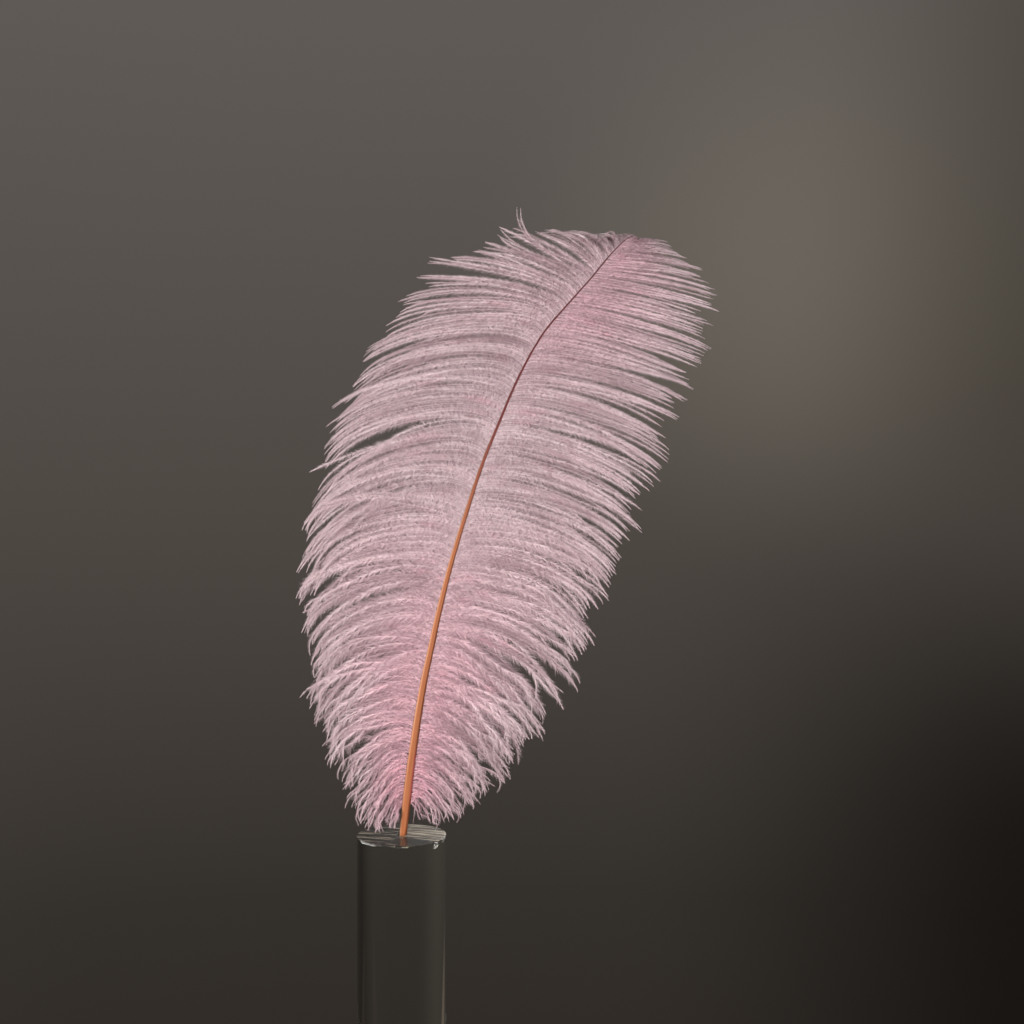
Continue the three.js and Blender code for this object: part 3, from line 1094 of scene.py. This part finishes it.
def add_world():
    """A plain grey room, by the direction looked in: dark below and paler above, with a soft
    glow behind the plume on the right and a dimmer wall past it. Low down it has a dark side
    on the right and a narrow pale side on the left, for the vase's edges to pick up."""
    world = bpy.data.worlds.new("studio")
    bpy.context.scene.world = world
    f = Finish(world)
    direction = f.node("ShaderNodeTexCoord")["Generated"]
    split = f.node("ShaderNodeSeparateXYZ", sockets={"Vector": direction})
    x, z = split[0], split[2]
    reach = {"Value": z, "From Min": -0.38, "From Max": 0.36}
    height = f.node("ShaderNodeMapRange", sockets=reach)[0]
    grey = f.node("ShaderNodeValToRGB", {"stops": [
        (0.0, rgb(49, 44, 40)),
        (0.12, rgb(52, 48, 44)),
        (0.5, rgb(78, 72, 67)),
        (1.0, rgb(95, 90, 86)),
    ]}, {"Fac": height})[0]
    from_glow_x, from_glow_z = x - 0.215, z - 0.19
    from_glow = (from_glow_x * from_glow_x + from_glow_z * from_glow_z).root()
    lit = f.mix((1 - f.ramp(from_glow, 0.0, 0.26)) * 0.32, grey, colour(138, 129, 116))
    dim = f.mix(f.ramp(x, 0.2, 0.42) * f.ramp(z, -0.05, 0.1) * 0.5, lit, colour(52, 47, 34))
    rightwards = x / (1 - z * z).root()
    leftwards = rightwards * -1
    low = 1 - f.ramp(z, -0.2, -0.05)
    left_glow = f.ramp(leftwards, 0.3, 0.75) * low
    glowing = f.mix(left_glow * 0.1, dim, colour(130, 122, 110))
    sided = f.mix(f.ramp(rightwards, 0.8, 0.88) * low * 0.93, glowing, colour(8, 7, 5))
    past_pale = leftwards - (1.43 + z * 1.5)
    pale_side = f.ramp(past_pale, -0.02, 0.03) * (1 - f.ramp(leftwards, 0.95, 0.975)) * low
    shade = f.mix(pale_side * 0.7, sided, colour(120, 106, 94))
    back = f.node("ShaderNodeBackground", sockets={"Color": shade, "Strength": 1.0})[0]
    f.node("ShaderNodeOutputWorld", sockets={"Surface": back})


def add_painted_shade_sheet():
    """A flat sheet of painted shade behind on the right: it glows one fixed dark colour, unlit by
    the lamps. It thins to nothing at its left, its right and its top, and only its front shows."""
    corners = [(x, SHEET_BACK, z) for x, z in (
        (SHEET_LEFT, SHEET_BOTTOM), (SHEET_RIGHT, SHEET_BOTTOM),
        (SHEET_RIGHT, SHEET_TOP), (SHEET_LEFT, SHEET_TOP))]
    mesh = bpy.data.meshes.new("painted_shade_sheet")
    mesh.from_pydata(corners, [], [(0, 1, 2, 3)])
    f = Finish(bpy.data.materials.new("painted_shade_sheet"))
    where = f.node("ShaderNodeTexCoord")["Object"]
    split = f.node("ShaderNodeSeparateXYZ", sockets={"Vector": where})
    x, z = split[0], split[2]
    dense = f.ramp(x, 0.14, 0.57) * (1 - f.ramp(x, 1.0, 1.35)) * (1 - f.ramp(z, 0.06, 0.52))
    from_behind = f.node("ShaderNodeNewGeometry")["Backfacing"]
    none = f.node("ShaderNodeBsdfTransparent")[0]
    # painted shade: a fixed dark glow that no lamp lights, for the vase to show
    dark = f.node("ShaderNodeEmission", sockets={"Color": colour(16, 14, 12)})[0]
    shown = dense * 0.85 * (1 - from_behind)
    both = f.node("ShaderNodeMixShader", sockets={"Fac": shown, 1: none, 2: dark})[0]
    mesh.materials.append(f.surface(both))
    shade_sheet = bpy.data.objects.new("painted_shade_sheet", mesh)
    bpy.context.scene.collection.objects.link(shade_sheet)


def add_floor():
    """A round pale floor: a disc with a rounded edge, its profile (r, z) carried round."""
    profile = np.array([
        (FLOOR_RADIUS - 3, 0),
        (FLOOR_RADIUS - 0.9, -0.9),
        (FLOOR_RADIUS, -3),
        (FLOOR_RADIUS, -FLOOR_THICK),
    ])
    angle = np.linspace(0, 2 * math.pi, FLOOR_SIDES, endpoint=False)
    rings = np.stack([
        profile[:, :1] * np.cos(angle),
        profile[:, :1] * np.sin(angle),
        np.repeat(profile[:, 1:], FLOOR_SIDES, 1),
    ], -1)
    points = rings.reshape(-1, 3) * MM
    around = grid_faces(len(profile), FLOOR_SIDES)[:, ::-1].tolist()
    top = list(range(FLOOR_SIDES))
    bottom = list(range(len(points) - 1, len(points) - 1 - FLOOR_SIDES, -1))
    mesh = bpy.data.meshes.new("floor")
    mesh.from_pydata(points.tolist(), [], [*around, top, bottom])
    mesh.materials.append(floor_finish())
    floor = bpy.data.objects.new("floor", mesh)
    bpy.context.scene.collection.objects.link(floor)


add_camera()
add_world()
add_floor()
add_painted_shade_sheet()
add_lamp("key", (-0.6, -1.0, 0.3), 0.4, 21, (1.0, 0.98, 0.96))
add_lamp("fill", (0.8, -1.3, 0.2), 0.6, 29, (0.98, 0.98, 1.0))
add_lamp("rear", (0.4, 1.35, 0.9), 0.9, 13, (1.0, 0.98, 0.96))
bpy.context.scene.view_settings.view_transform = "Standard"

make_shaft()
left_barbs = Barbs(LEFT_BARBS, -1, LEFT_DOWN, LEFT_STRAYS)
make_vane(left_barbs, "left_vane", down_finish("left_down", 0.15))
right_barbs = Barbs(RIGHT_BARBS, 1, RIGHT_DOWN, RIGHT_STRAYS)
make_vane(right_barbs, "right_vane", down_finish("right_down", 0.6))
make_vase()
